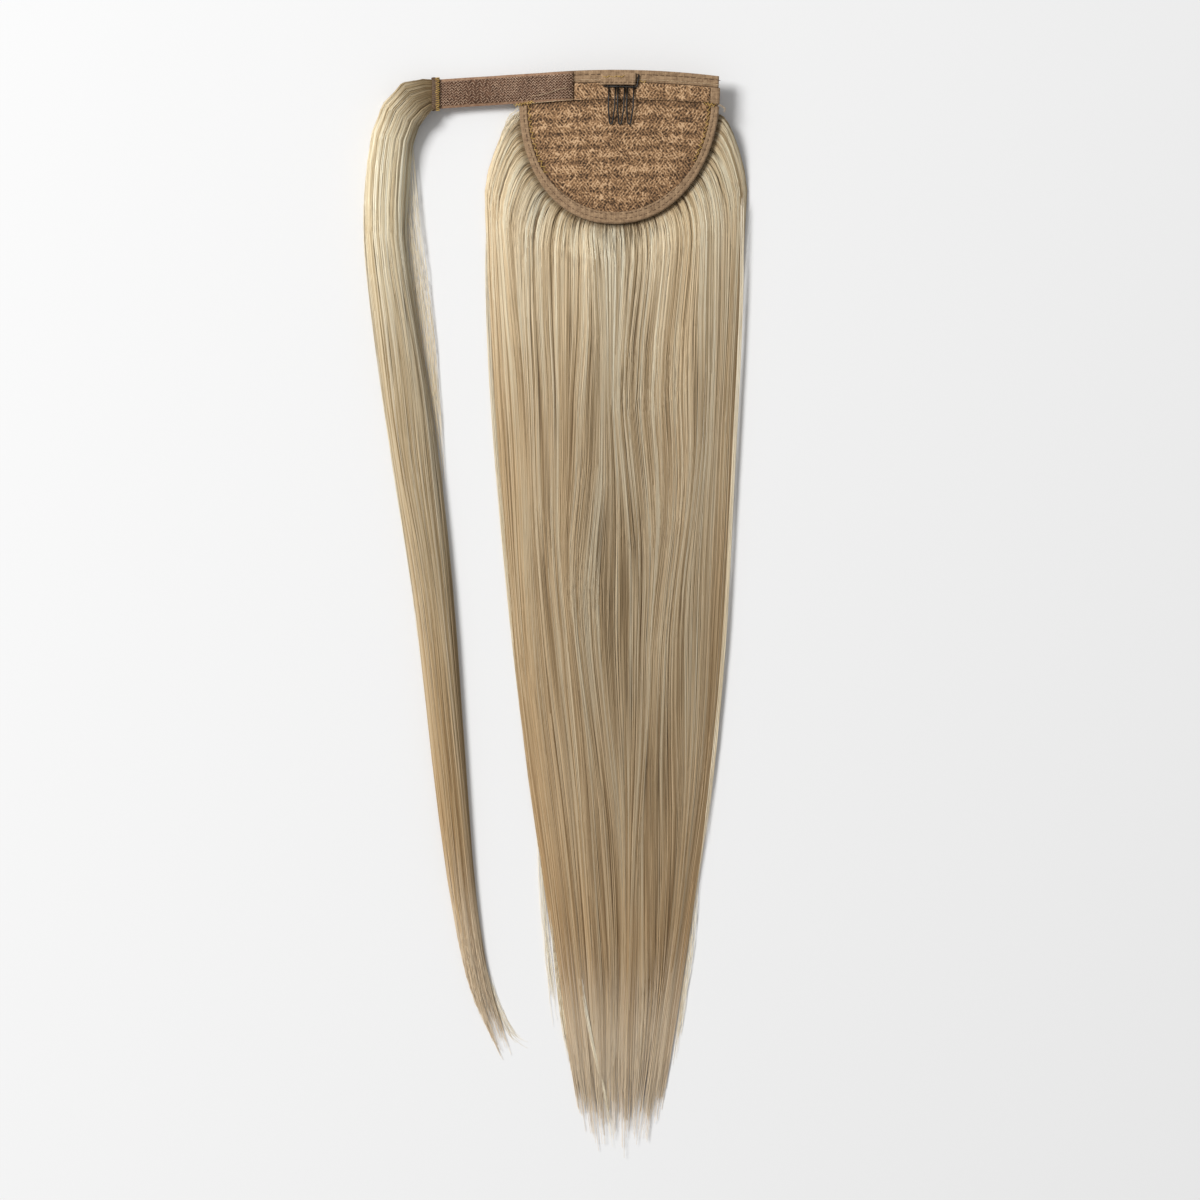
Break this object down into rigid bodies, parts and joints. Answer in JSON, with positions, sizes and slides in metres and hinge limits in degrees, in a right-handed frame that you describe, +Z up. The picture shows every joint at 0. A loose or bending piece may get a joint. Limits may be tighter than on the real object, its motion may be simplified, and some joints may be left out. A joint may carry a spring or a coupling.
{
  "type": "wrap-around ponytail hairpiece",
  "caption": "Clip-on ponytail laid flat: half-oval lace cap with taped edges, wire comb and hook strap, long straight hair and a lock that wraps round the base.",
  "frame": {"origin": "middle of the whole piece's outline, on the surface that it lies on", "axes": "+X to the right with the cap's straight edge at the top, +Y from the hair's tips towards the cap, +Z up from the table, out of the cap's inner side"},
  "size_m": [0.2102, 0.593, 0.0195],
  "materials": {
    "lace": "stretch lace",
    "tape": "woven tape",
    "hook_tape": "hook tape",
    "thread": "whipped thread",
    "hair": "straight hair, soft shine",
    "wire": "black enamel"
  },
  "bodies": {
    "root": {"lace_panel": "lace", "upper_strip": "lace", "top_hem": "tape", "rim_tape": "tape", "left_side_tape": "tape", "right_side_tape": "tape", "comb_tab": "tape", "comb": "wire", "hook_strap": "hook_tape", "thread_sleeve": "thread", "hair_fall": "hair", "wrap_lock": "hair"}
  },
  "joints": []
}
